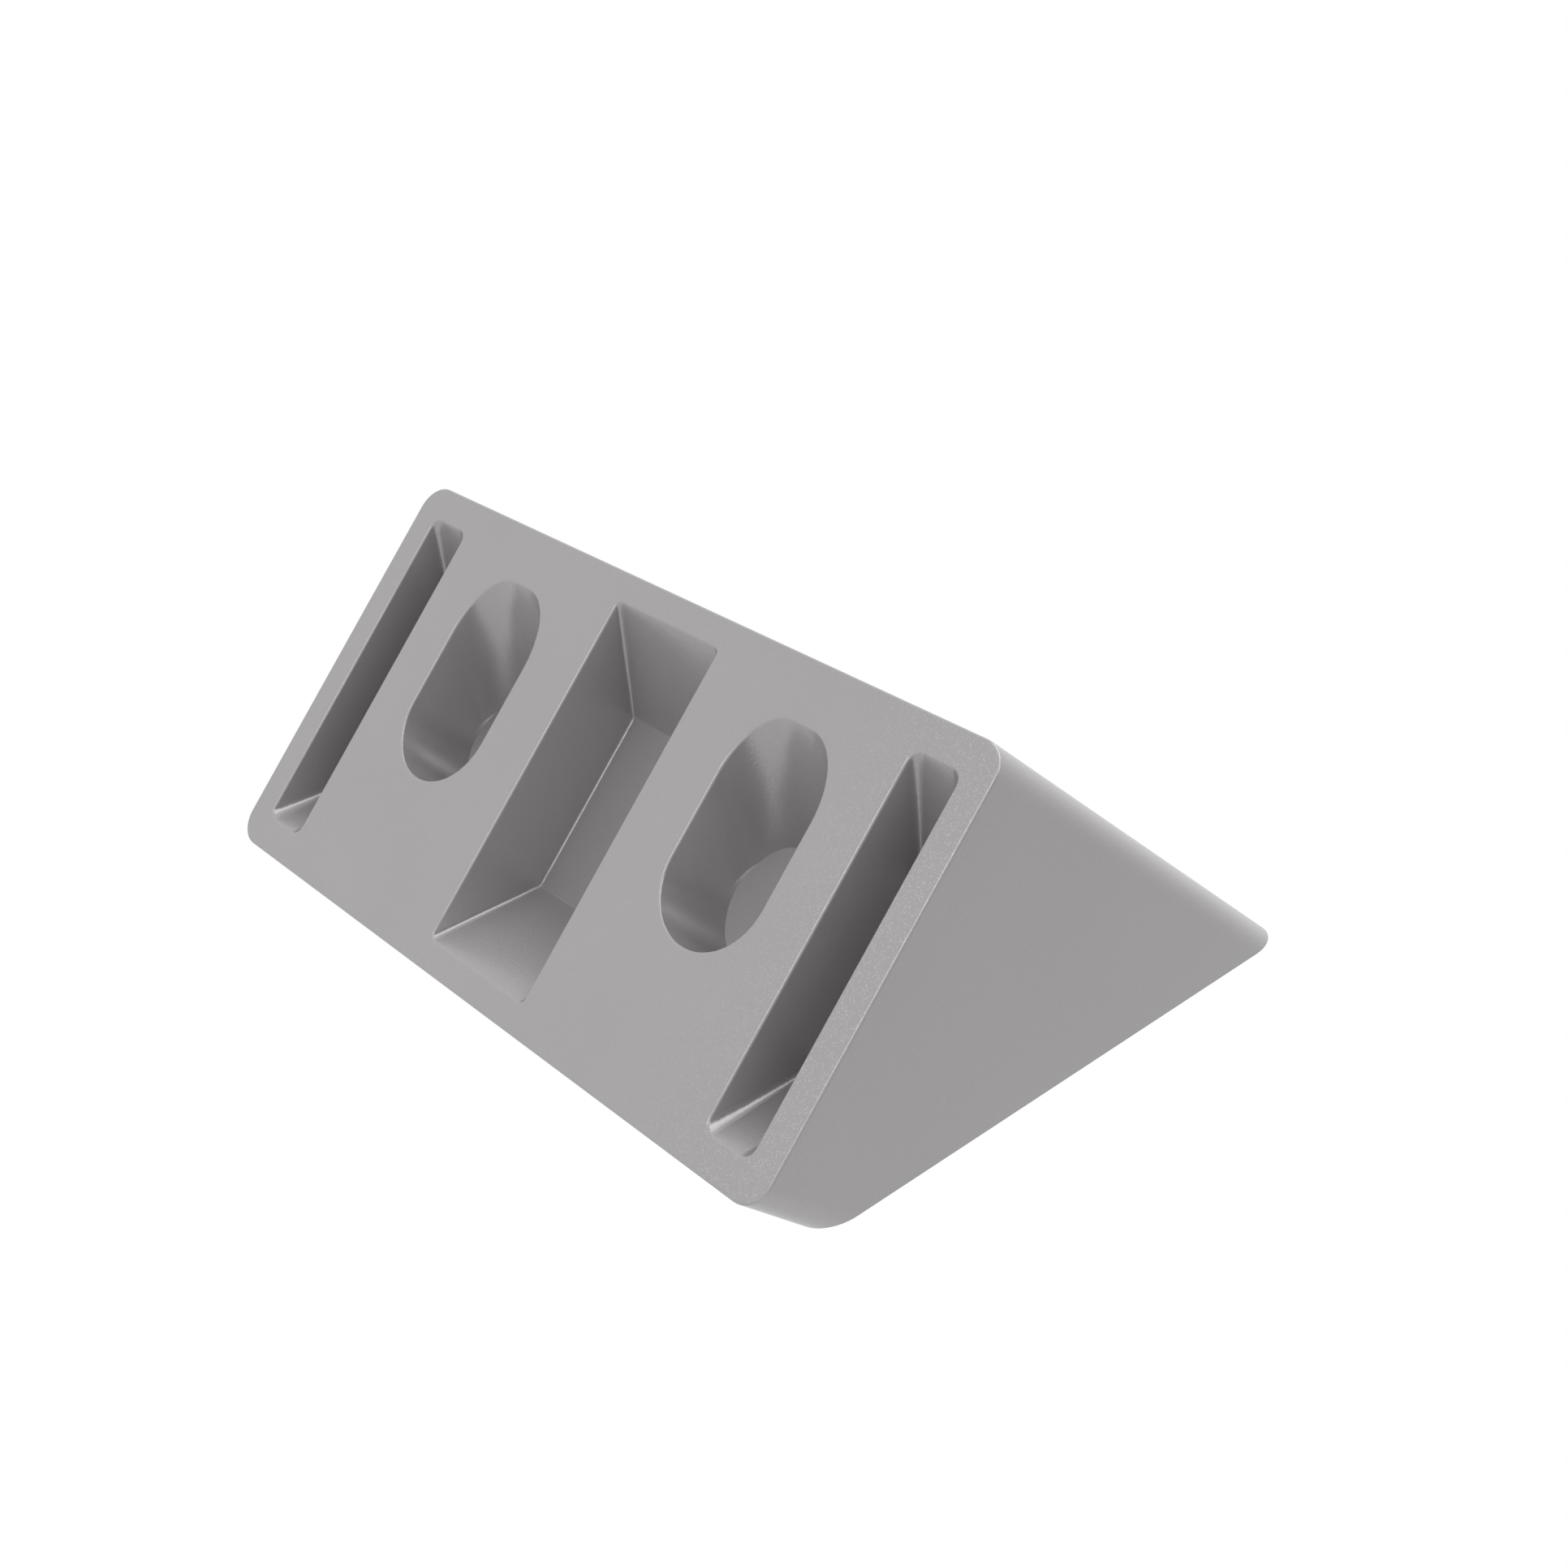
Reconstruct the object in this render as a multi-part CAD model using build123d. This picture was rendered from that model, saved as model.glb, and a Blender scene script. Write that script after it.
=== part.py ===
from build123d import *
from math import cos, radians, sin, tan
import os

# Corner bracket for T-slot profile, cast in one piece. Millimetres.
# The post lies against the -Y face and the beam lies on the +Z face.
# The origin is the centre of the face that meets the post; X runs across the bracket.

# Overall form
bracket_width = 90.0
post_face_height = 45.0
foot_depth = 10.0
slope_angle = 45.0
outline_radius = 3.0
slope_edge_chamfer = 0.1
edge_radius = 0.25

# Legs, and the two open cells between the webs
post_leg_thickness = 10.0
beam_leg_thickness = 10.0
cell_width = 20.0
cell_corner_radius = 3.0
cell_draft = 1.0

# Bolts: two through each leg
bolt_spacing = 45.0
bolt_hole_diameter = 13.0
beam_bolt_distance = 22.5
beam_bore_chamfer = 0.3
relief_angle = 45.0
relief_corner_radius = 5.2

# Pockets cast into the face that meets the post
pocket_wall_angle = 45.0
pocket_draft = 0.75
pocket_inner_radius = 0.35
pocket_floor_radius = 0.25
centre_pocket_width = 16.0
centre_pocket_margin = 3.0
centre_pocket_depth = 9.5
centre_pocket_radius = 0.6
side_pocket_width = 6.0
side_pocket_outer_wall = 3.5
side_pocket_margin = 3.5
side_pocket_depth = 9.5
side_pocket_radius = 1.2

# Length by which a cutting solid runs past the surface that it opens
overrun = 5.0

top = post_face_height / 2
bottom = -post_face_height / 2
beam_face_depth = foot_depth + post_face_height / tan(radians(slope_angle))
hole_radius = bolt_hole_diameter / 2
bolt_places = [-bolt_spacing / 2, bolt_spacing / 2]


# Outline of (Y, Z) points, extruded to both sides of X = 0
def across(points, width):
    outline = Plane.YZ * make_face(Polyline(*points, close=True))
    return extrude(outline, width / 2, both=True)


# Outline of (X, Y) points, extruded from the lower to the higher Z
def upright(points, low, high):
    outline = Pos(0, 0, low) * make_face(Polyline(*points, close=True))
    return extrude(outline, high - low)


# Edges where a face of one list meets a face of the other
def meeting_edges(first_faces, second_faces):
    edges = ShapeList()
    for first_face in first_faces:
        for second_face in second_faces:
            edges += first_face.edges() & second_face.edges()
    return edges


# The flat face of the sloping side
def slope_face(solid):
    across_slope = Vector(0, sin(radians(slope_angle)), -cos(radians(slope_angle)))
    flat_faces = solid.faces().filter_by(GeomType.PLANE)
    return [face for face in flat_faces if face.normal_at().dot(across_slope) > 0.999][0]


# The lowest and the highest face of a solid along an axis
def end_faces(solid, axis):
    ordered = solid.faces().sort_by(axis)
    return [ordered[0], ordered[-1]]


# Rounded block cut to the wedge between the two legs and the slope
def make_body():
    outline = Plane.XZ * RectangleRounded(bracket_width, post_face_height, outline_radius)
    rounded_block = extrude(outline, -beam_face_depth)
    wedge = across([(0, bottom), (foot_depth, bottom), (beam_face_depth, top), (0, top)], bracket_width)
    return rounded_block & wedge


# Open space between two webs: drafted side walls and rounded inner corners
def make_cell(bolt_x):
    near = post_leg_thickness
    far = beam_face_depth + overrun
    spread = (far - near) * tan(radians(cell_draft))
    half = cell_width / 2
    plan = [(-half, near), (half, near), (half + spread, far), (-half - spread, far)]
    cell = Pos(bolt_x, 0, 0) * upright(plan, bottom - overrun, top - beam_leg_thickness)
    post_leg_face = end_faces(cell, Axis.Y)[:1]
    beam_leg_face = end_faces(cell, Axis.Z)[1:]
    web_faces = end_faces(cell, Axis.X)
    corners = meeting_edges(post_leg_face, beam_leg_face)
    corners += meeting_edges(post_leg_face + beam_leg_face, web_faces)
    return fillet(corners, cell_corner_radius)


# Bore through the post leg, with a slanting relief cut into its upper half
def make_post_opening(bolt_x):
    circle = Pos(bolt_x, 0, 0) * (Plane.XZ * Circle(hole_radius))
    bore = extrude(circle, -post_leg_thickness - overrun) + extrude(circle, overrun)
    slope = tan(radians(relief_angle))
    mouth_top = hole_radius + post_leg_thickness * slope
    slanted = Plane(origin=(bolt_x, 0, mouth_top), x_dir=(1, 0, 0), z_dir=(0, 1, -slope))
    section_height = 2 * mouth_top
    section = RectangleRounded(bolt_hole_diameter, section_height, relief_corner_radius)
    prism = extrude(slanted * (Pos(0, section_height / 2) * section), section_height, both=True)
    upper_half = across([(-overrun, 0), (post_leg_thickness + overrun, 0),
                         (post_leg_thickness + overrun, section_height), (-overrun, section_height)],
                        bolt_hole_diameter)
    return bore + (prism & (Pos(bolt_x, 0, 0) * upper_half))


# Plain bore through the beam leg
def make_beam_bore(bolt_x):
    circle = Pos(bolt_x, beam_bolt_distance, top + overrun) * Circle(hole_radius)
    return extrude(circle, -beam_leg_thickness - 2 * overrun)


# Pocket in the post face: side walls with draft, end walls that slope in to the floor,
# and corners that taper from the mouth to the floor
def make_pocket(centre_x, width, margin, depth, corner_radius):
    height = post_face_height - 2 * margin
    floor_width = width - 2 * depth * tan(radians(pocket_draft))
    floor_height = height - 2 * depth / tan(radians(pocket_wall_angle))
    mouth = Plane.XZ * RectangleRounded(width, height, corner_radius)
    floor = Pos(0, depth, 0) * (Plane.XZ * RectangleRounded(floor_width, floor_height, pocket_inner_radius))
    pocket = loft([mouth, floor], ruled=True)
    pocket = fillet(end_faces(pocket, Axis.Y)[1].edges(), pocket_floor_radius)
    return Pos(centre_x, 0, 0) * (pocket + extrude(mouth, overrun))


# The body with its cells, bores and pockets, and with the edges of its outer faces broken
def make_bracket():
    bracket = make_body()
    bracket = chamfer(slope_face(bracket).edges(), slope_edge_chamfer)
    for bolt_x in bolt_places:
        bracket -= make_cell(bolt_x)
        bracket -= make_post_opening(bolt_x)
        bracket -= make_beam_bore(bolt_x)
    bracket -= make_pocket(0, centre_pocket_width, centre_pocket_margin,
                           centre_pocket_depth, centre_pocket_radius)
    side_pocket_x = bracket_width / 2 - side_pocket_outer_wall - side_pocket_width / 2
    for centre_x in (-side_pocket_x, side_pocket_x):
        bracket -= make_pocket(centre_x, side_pocket_width, side_pocket_margin,
                               side_pocket_depth, side_pocket_radius)
    bracket = fillet(end_faces(bracket, Axis.Y)[0].edges(), edge_radius)
    beam_bore_rims = end_faces(bracket, Axis.Z)[1].edges().filter_by(GeomType.CIRCLE)
    return chamfer(beam_bore_rims, beam_bore_chamfer)


os.makedirs("parts", exist_ok=True)
export_step(make_bracket(), "parts/bracket.step")
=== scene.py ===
import math
import bpy
from mathutils import Matrix, Vector


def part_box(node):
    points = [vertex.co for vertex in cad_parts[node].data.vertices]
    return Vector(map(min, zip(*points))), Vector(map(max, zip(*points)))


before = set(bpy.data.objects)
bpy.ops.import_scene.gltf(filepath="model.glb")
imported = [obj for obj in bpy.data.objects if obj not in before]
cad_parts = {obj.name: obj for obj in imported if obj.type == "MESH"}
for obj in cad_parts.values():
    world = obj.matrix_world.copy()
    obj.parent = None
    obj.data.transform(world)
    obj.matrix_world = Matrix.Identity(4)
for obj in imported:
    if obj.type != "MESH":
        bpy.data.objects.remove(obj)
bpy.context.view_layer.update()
scene = bpy.context.scene
scene.view_settings.view_transform = "Standard"
print("stage 1: frame loaded")


# Short helpers for node trees
def addNode(tree, kind, x=0, y=0, **settings):
    node = tree.nodes.new(kind)
    node.location = (x, y)
    for name, value in settings.items():
        setattr(node, name, value)
    return node


def setInputs(node, values):
    for name, value in values.items():
        node.inputs[name].default_value = value


def newGroup(name, inputs, outputs):
    group = bpy.data.node_groups.new(name, "ShaderNodeTree")
    for socketName, value in inputs.items():
        socket = group.interface.new_socket(socketName, in_out="INPUT", socket_type="NodeSocketFloat")
        socket.default_value = value
    for socketName in outputs:
        group.interface.new_socket(socketName, in_out="OUTPUT", socket_type="NodeSocketFloat")
    return group


def placeGroup(tree, group, x, y, values):
    node = addNode(tree, "ShaderNodeGroup", x, y)
    node.node_tree = group
    setInputs(node, values)
    return node


# Fine grain of a blasted casting: a height, a slow change of tone and bright specks in some cells
def makeGrainGroup():
    group = newGroup("castGrain",
                     {"Grain Size": 0.0003, "Cloud Size": 0.012, "Speck Size": 0.0002, "Speck Share": 0.05},
                     ("Height", "Tone", "Speck"))
    groupIn = addNode(group, "NodeGroupInput", -1100, 0)
    groupOut = addNode(group, "NodeGroupOutput", 500, 0)
    coords = addNode(group, "ShaderNodeTexCoord", -650, 400)
    grain = addNode(group, "ShaderNodeTexNoise", -400, 300)
    setInputs(grain, {"Detail": 2.0, "Roughness": 0.55})
    cloud = addNode(group, "ShaderNodeTexNoise", -400, 0)
    setInputs(cloud, {"Detail": 3.0, "Roughness": 0.5})
    cells = addNode(group, "ShaderNodeTexVoronoi", -400, -300, feature="F1")
    for node, size, y in ((grain, "Grain Size", 200), (cloud, "Cloud Size", 0), (cells, "Speck Size", -200)):
        scale = addNode(group, "ShaderNodeMath", -850, y, operation="DIVIDE")
        scale.inputs[0].default_value = 1.0
        group.links.new(groupIn.outputs[size], scale.inputs[1])
        group.links.new(scale.outputs[0], node.inputs["Scale"])
        group.links.new(coords.outputs["Object"], node.inputs["Vector"])
    chance = addNode(group, "ShaderNodeSeparateColor", -150, -300)
    speck = addNode(group, "ShaderNodeMath", 100, -300, operation="LESS_THAN")
    group.links.new(cells.outputs["Color"], chance.inputs["Color"])
    group.links.new(chance.outputs["Red"], speck.inputs[0])
    group.links.new(groupIn.outputs["Speck Share"], speck.inputs[1])
    group.links.new(grain.outputs["Fac"], groupOut.inputs["Height"])
    group.links.new(cloud.outputs["Fac"], groupOut.inputs["Tone"])
    group.links.new(speck.outputs[0], groupOut.inputs["Speck"])
    return group


# Mask of the edges: the cosine between the normal of a rounded copy and the true one, from none to full; the
# casting uses it for a painted highlight on the rims
def makeEdgeGroup():
    group = newGroup("edgeMask", {"Width": 0.0002, "None At": 0.99, "Full At": 0.9}, ("Edge",))
    groupIn = addNode(group, "NodeGroupInput", -700, 0)
    groupOut = addNode(group, "NodeGroupOutput", 500, 0)
    rounded = addNode(group, "ShaderNodeBevel", -450, 0, samples=6)
    geometry = addNode(group, "ShaderNodeNewGeometry", -450, -200)
    turn = addNode(group, "ShaderNodeVectorMath", -200, 0, operation="DOT_PRODUCT")
    mask = addNode(group, "ShaderNodeMapRange", 50, 0, interpolation_type="SMOOTHSTEP")
    group.links.new(groupIn.outputs["Width"], rounded.inputs["Radius"])
    group.links.new(rounded.outputs["Normal"], turn.inputs[0])
    group.links.new(geometry.outputs["Normal"], turn.inputs[1])
    group.links.new(turn.outputs["Value"], mask.inputs["Value"])
    group.links.new(groupIn.outputs["None At"], mask.inputs["From Min"])
    group.links.new(groupIn.outputs["Full At"], mask.inputs["From Max"])
    group.links.new(mask.outputs["Result"], groupOut.inputs["Edge"])
    return group


# Mask of a painted glint: the post face, rising toward +X, where the grain's specks are painted brighter as
# if light caught them
def makePaintedGlintGroup():
    group = newGroup("paintedGlintMask", {"From": 0.01, "To": 0.05, "Facing From": 0.8, "Facing To": 0.98},
                     ("Painted Glint",))
    groupIn = addNode(group, "NodeGroupInput", -700, -200)
    groupOut = addNode(group, "NodeGroupOutput", 500, 0)
    coords = addNode(group, "ShaderNodeTexCoord", -700, 200)
    place = addNode(group, "ShaderNodeSeparateXYZ", -450, 200)
    rise = addNode(group, "ShaderNodeMapRange", -200, 200, interpolation_type="SMOOTHSTEP")
    turn = addNode(group, "ShaderNodeVectorMath", -450, 0, operation="DOT_PRODUCT")
    turn.inputs[1].default_value = (0, -1, 0)
    facing = addNode(group, "ShaderNodeMapRange", -200, 0, interpolation_type="SMOOTHSTEP")
    both = addNode(group, "ShaderNodeMath", 100, 100, operation="MULTIPLY")
    group.links.new(coords.outputs["Object"], place.inputs[0])
    group.links.new(coords.outputs["Normal"], turn.inputs[0])
    group.links.new(place.outputs["X"], rise.inputs["Value"])
    group.links.new(groupIn.outputs["From"], rise.inputs["From Min"])
    group.links.new(groupIn.outputs["To"], rise.inputs["From Max"])
    group.links.new(turn.outputs["Value"], facing.inputs["Value"])
    group.links.new(groupIn.outputs["Facing From"], facing.inputs["From Min"])
    group.links.new(groupIn.outputs["Facing To"], facing.inputs["From Max"])
    group.links.new(rise.outputs["Result"], both.inputs[0])
    group.links.new(facing.outputs["Result"], both.inputs[1])
    group.links.new(both.outputs[0], groupOut.inputs["Painted Glint"])
    return group


grainGroup = makeGrainGroup()
edgeGroup = makeEdgeGroup()
paintedGlintGroup = makePaintedGlintGroup()

casting = {
    "color": (0.432, 0.42, 0.426, 1.0),
    "metallic": 0.4,
    "roughness": 0.22,
    "roughnessChange": 0.02,
    "grainSize": 0.00024,
    "grainDepth": 0.000016,
    "cloudSize": 0.014,
    "cloudAmount": 0.012,
    "cloudRange": (0.3, 0.7),  # where the slow noise has its low and high ends
    # Specks are random grain everywhere; toward +X on the post face they are painted brighter as a painted
    # glint
    "speckAndPaintedGlintColor": (0.72, 0.71, 0.715, 1.0),
    "speckSize": 0.00011,
    "speckShare": 0.12,
    "speckStrength": 0.05,
    "paintedGlintFrom": 0.022,
    "paintedGlintTo": 0.046,
    "paintedGlintStrength": 0.35,
    # Painted highlight: the edges are painted this lighter colour, by this share
    "paintedEdgeHighlightColor": (0.52, 0.515, 0.52, 1.0),
    "edgeWidth": 0.0002,
    "paintedEdgeHighlight": 0.08,
}


# Spreads the slow noise over a middle value less and more a change
def spreadTone(tree, x, y, cloudRange, middle, change):
    node = addNode(tree, "ShaderNodeMapRange", x, y)
    setInputs(node, {"From Min": cloudRange[0], "From Max": cloudRange[1],
                     "To Min": middle - change, "To Max": middle + change})
    return node


def makeCastingMaterial(values):
    material = bpy.data.materials.new("blastedCasting")
    material.use_nodes = True
    tree = material.node_tree
    tree.nodes.clear()
    output = addNode(tree, "ShaderNodeOutputMaterial", 900, 0)
    shader = addNode(tree, "ShaderNodeBsdfPrincipled", 600, 0)
    setInputs(shader, {"Metallic": values["metallic"]})
    grain = placeGroup(tree, grainGroup, -700, 0,
                       {"Grain Size": values["grainSize"], "Cloud Size": values["cloudSize"],
                        "Speck Size": values["speckSize"], "Speck Share": values["speckShare"]})
    edge = placeGroup(tree, edgeGroup, -700, -300, {"Width": values["edgeWidth"]})
    paintedGlint = placeGroup(tree, paintedGlintGroup, -700, 300, {"From": values["paintedGlintFrom"], "To": values["paintedGlintTo"]})
    tone = spreadTone(tree, -450, 300, values["cloudRange"], 1.0, values["cloudAmount"])
    toned = addNode(tree, "ShaderNodeHueSaturation", -200, 300)
    setInputs(toned, {"Color": values["color"]})
    # Specks: grain at the speck strength everywhere, and a painted glint up to the glint strength under the
    # glint mask
    speckAndPaintedGlintLevel = addNode(tree, "ShaderNodeMapRange", -450, 0)
    setInputs(speckAndPaintedGlintLevel, {"To Min": values["speckStrength"], "To Max": values["paintedGlintStrength"]})
    speckAndPaintedGlintPart = addNode(tree, "ShaderNodeMath", -200, 0, operation="MULTIPLY")
    speckedAndPaintedGlint = addNode(tree, "ShaderNodeMix", 50, 300, data_type="RGBA")
    setInputs(speckedAndPaintedGlint, {"B": values["speckAndPaintedGlintColor"]})
    # Painted highlight: the edges under the edge mask are painted lighter
    paintedEdgeHighlightPart = addNode(tree, "ShaderNodeMath", -200, -200, operation="MULTIPLY")
    paintedEdgeHighlightPart.inputs[1].default_value = values["paintedEdgeHighlight"]
    paintedEdgeHighlit = addNode(tree, "ShaderNodeMix", 300, 300, data_type="RGBA")
    setInputs(paintedEdgeHighlit, {"B": values["paintedEdgeHighlightColor"]})
    rough = spreadTone(tree, 50, -100, values["cloudRange"], values["roughness"], values["roughnessChange"])
    bump = addNode(tree, "ShaderNodeBump", 300, -300)
    setInputs(bump, {"Strength": 1.0, "Distance": values["grainDepth"]})
    tree.links.new(grain.outputs["Tone"], tone.inputs["Value"])
    tree.links.new(tone.outputs["Result"], toned.inputs["Value"])
    tree.links.new(toned.outputs["Color"], speckedAndPaintedGlint.inputs["A"])
    tree.links.new(paintedGlint.outputs["Painted Glint"], speckAndPaintedGlintLevel.inputs["Value"])
    tree.links.new(grain.outputs["Speck"], speckAndPaintedGlintPart.inputs[0])
    tree.links.new(speckAndPaintedGlintLevel.outputs["Result"], speckAndPaintedGlintPart.inputs[1])
    tree.links.new(speckAndPaintedGlintPart.outputs[0], speckedAndPaintedGlint.inputs["Factor"])
    tree.links.new(speckedAndPaintedGlint.outputs["Result"], paintedEdgeHighlit.inputs["A"])
    tree.links.new(edge.outputs["Edge"], paintedEdgeHighlightPart.inputs[0])
    tree.links.new(paintedEdgeHighlightPart.outputs[0], paintedEdgeHighlit.inputs["Factor"])
    tree.links.new(paintedEdgeHighlit.outputs["Result"], shader.inputs["Base Color"])
    tree.links.new(grain.outputs["Tone"], rough.inputs["Value"])
    tree.links.new(rough.outputs["Result"], shader.inputs["Roughness"])
    tree.links.new(grain.outputs["Height"], bump.inputs["Height"])
    tree.links.new(bump.outputs["Normal"], shader.inputs["Normal"])
    tree.links.new(shader.outputs["BSDF"], output.inputs["Surface"])
    return material


castingMaterial = makeCastingMaterial(casting)
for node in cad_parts.values():
    node.data.materials.clear()
    node.data.materials.append(castingMaterial)
print("stage 2: casting material")


# Gives 1 for a reflection or a transmission, and the Light Path node for what else a tree needs
def mirroredRays(tree, x, y):
    path = addNode(tree, "ShaderNodeLightPath", x, y)
    mirrored = addNode(tree, "ShaderNodeMath", x + 200, y, operation="MAXIMUM")
    tree.links.new(path.outputs["Is Glossy Ray"], mirrored.inputs[0])
    tree.links.new(path.outputs["Is Transmission Ray"], mirrored.inputs[1])
    return path, mirrored


floorValues = {
    "drop": 0.12,
    "size": 0.4,
    "color": (0.78, 0.78, 0.78, 1.0),
    "glow": 0.25,
    "mirroredGlow": 0.03,
}


# The paint keeps the shadow; the glow lifts it to white for the camera and less for reflections
def makeFloorMaterial(values):
    material = bpy.data.materials.new("paleFloor")
    material.use_nodes = True
    tree = material.node_tree
    tree.nodes.clear()
    output = addNode(tree, "ShaderNodeOutputMaterial", 600, 0)
    paint = addNode(tree, "ShaderNodeBsdfDiffuse", 0, 100)
    setInputs(paint, {"Color": values["color"]})
    glow = addNode(tree, "ShaderNodeEmission", 0, -100)
    path, mirrored = mirroredRays(tree, -800, -100)
    mirroredGlow = addNode(tree, "ShaderNodeMath", -400, -200, operation="MULTIPLY")
    mirroredGlow.inputs[1].default_value = values["mirroredGlow"]
    strength = addNode(tree, "ShaderNodeMath", -200, -100, operation="MULTIPLY_ADD")
    strength.inputs[1].default_value = values["glow"]
    total = addNode(tree, "ShaderNodeAddShader", 300, 0)
    tree.links.new(mirrored.outputs[0], mirroredGlow.inputs[0])
    tree.links.new(path.outputs["Is Camera Ray"], strength.inputs[0])
    tree.links.new(mirroredGlow.outputs[0], strength.inputs[2])
    tree.links.new(strength.outputs[0], glow.inputs["Strength"])
    tree.links.new(paint.outputs[0], total.inputs[0])
    tree.links.new(glow.outputs[0], total.inputs[1])
    tree.links.new(total.outputs[0], output.inputs["Surface"])
    return material


def makeFloor(values):
    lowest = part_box("bracket")[0].z
    bpy.ops.mesh.primitive_plane_add(size=values["size"], location=(0, 0, lowest - values["drop"]))
    floor = bpy.context.object
    floor.name = "floor"
    floor.data.materials.append(makeFloorMaterial(values))


room = {
    "ambient": 0.67,
    "mirrored": 0.9,
    "darkSide": (0.86, 0.0, 0.5),
    "darkFrom": 0.1,
    "darkDrop": 0.5,
    "topLift": 0.1,
}


# White for the camera; the light from it is a little stronger overhead and weaker on the dark side
def makeWorld(values):
    world = bpy.data.worlds.new("studioWorld")
    world.use_nodes = True
    scene.world = world
    tree = world.node_tree
    background = tree.nodes["Background"]
    setInputs(background, {"Color": (1, 1, 1, 1)})
    coords = addNode(tree, "ShaderNodeTexCoord", -1200, 400)
    towardDark = addNode(tree, "ShaderNodeVectorMath", -1000, 500, operation="DOT_PRODUCT")
    towardDark.inputs[1].default_value = values["darkSide"]
    towardTop = addNode(tree, "ShaderNodeVectorMath", -1000, 300, operation="DOT_PRODUCT")
    towardTop.inputs[1].default_value = (0, 0, 1)
    darkMask = addNode(tree, "ShaderNodeMapRange", -800, 500, interpolation_type="SMOOTHSTEP")
    setInputs(darkMask, {"From Min": values["darkFrom"], "From Max": 1.0,
                         "To Min": 0.0, "To Max": values["darkDrop"]})
    topPart = addNode(tree, "ShaderNodeMath", -800, 300, operation="MULTIPLY_ADD")
    topPart.inputs[1].default_value = values["topLift"]
    topPart.inputs[2].default_value = 1.0
    shape = addNode(tree, "ShaderNodeMath", -600, 400, operation="SUBTRACT")
    path, mirrored = mirroredRays(tree, -1200, 0)
    level = addNode(tree, "ShaderNodeMapRange", -800, 0)
    setInputs(level, {"To Min": values["ambient"], "To Max": values["mirrored"]})
    shaped = addNode(tree, "ShaderNodeMath", -400, 200, operation="MULTIPLY")
    white = addNode(tree, "ShaderNodeMix", -200, 0, data_type="FLOAT")
    setInputs(white, {"B": 1.0})
    for part in (towardDark, towardTop):
        tree.links.new(coords.outputs["Generated"], part.inputs[0])
    tree.links.new(towardDark.outputs["Value"], darkMask.inputs["Value"])
    tree.links.new(towardTop.outputs["Value"], topPart.inputs[0])
    tree.links.new(topPart.outputs[0], shape.inputs[0])
    tree.links.new(darkMask.outputs["Result"], shape.inputs[1])
    tree.links.new(mirrored.outputs[0], level.inputs["Value"])
    tree.links.new(shape.outputs[0], shaped.inputs[0])
    tree.links.new(level.outputs["Result"], shaped.inputs[1])
    tree.links.new(path.outputs["Is Camera Ray"], white.inputs["Factor"])
    tree.links.new(shaped.outputs[0], white.inputs["A"])
    tree.links.new(white.outputs["Result"], background.inputs["Strength"])


lampLevels = {
    "overhead": {"toward": (0.0, 0.1, 1.0), "spread": 50.0, "level": 0.29},
    "right": {"toward": (0.6, -0.3, 0.75), "spread": 50.0, "level": 0.28},
    "front": {"toward": (0.0, -1.0, 0.05), "spread": 24.0, "level": 0.09},
}


# A lamp's level is what it adds to a white surface that faces it
def makeLamp(name, values):
    toward = Vector(values["toward"]).normalized()
    lamp = bpy.data.lights.new(name, "SUN")
    lamp.angle = math.radians(values["spread"])
    lamp.energy = values["level"] * math.pi
    holder = bpy.data.objects.new(name, lamp)
    holder.location = toward
    holder.rotation_mode = "QUATERNION"
    holder.rotation_quaternion = toward.to_track_quat("Z", "Y")
    scene.collection.objects.link(holder)


makeFloor(floorValues)
makeWorld(room)
for lampName, lampValues in lampLevels.items():
    makeLamp(lampName, lampValues)
print("stage 3: floor, world and lamps")

view = {
    "place": (0.157956, -0.145697, 0.007101),
    "right": (0.650674, 0.585455, 0.483596),
    "up": (-0.344606, -0.339834, 0.875077),
    "lens": 50.0,
    "sensor": 36.0,
    "nearest": 0.01,
}


def makeCamera(values):
    right = Vector(values["right"]).normalized()
    up = Vector(values["up"])
    up = (up - right * up.dot(right)).normalized()
    back = right.cross(up)
    camera = bpy.data.objects.new("camera", bpy.data.cameras.new("camera"))
    turned = Matrix((right, up, back)).transposed().to_4x4()
    camera.matrix_world = Matrix.Translation(values["place"]) @ turned
    camera.data.lens = values["lens"]
    camera.data.sensor_width = values["sensor"]
    camera.data.clip_start = values["nearest"]
    scene.collection.objects.link(camera)
    scene.camera = camera


makeCamera(view)
print("stage 4: camera")
